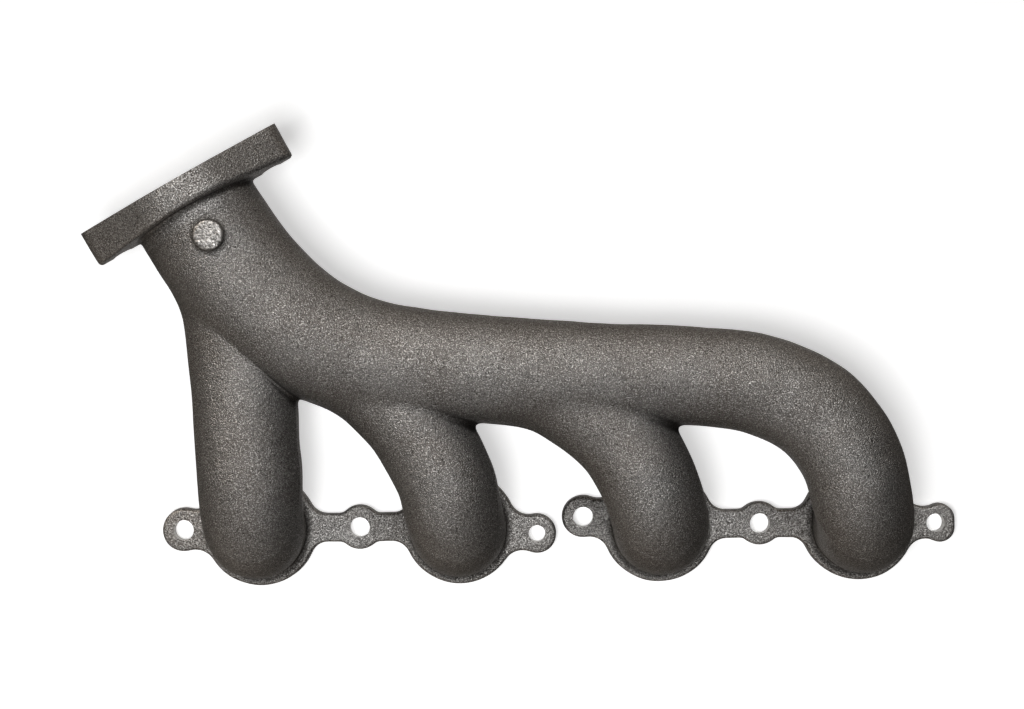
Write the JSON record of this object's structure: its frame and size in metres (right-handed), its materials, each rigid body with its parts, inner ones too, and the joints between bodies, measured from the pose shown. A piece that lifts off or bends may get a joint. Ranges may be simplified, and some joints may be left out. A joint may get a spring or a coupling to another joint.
{
  "type": "exhaust manifold",
  "caption": "Log-type cast iron exhaust manifold with curved runners, split head flanges and an angled two-bolt outlet flange.",
  "frame": {"origin": "bottom centre of the bounding box, on the plane of the cylinder head's face", "axes": "+X along the row of ports, away from the outlet; +Y from the ports towards the log and the outlet; +Z away from the cylinder head"},
  "size_m": [0.4794, 0.2544, 0.1034],
  "materials": {
    "iron_skin": "sand-cast, dark grey-brown grain",
    "iron_flange": "sand-cast with lighter sparkle",
    "iron_boss": "bright grainy flat"
  },
  "bodies": {
    "root": {"collector": "iron_skin", "head_flange_front": "iron_flange", "head_flange_rear": "iron_flange", "log_front": "iron_skin", "log_rear": "iron_skin", "outlet_flange": "iron_flange", "outlet_neck": "iron_skin", "runner_1": "iron_skin", "runner_2": "iron_skin", "runner_3": "iron_skin", "runner_4": "iron_skin", "sensor_boss": "iron_boss"}
  },
  "joints": []
}
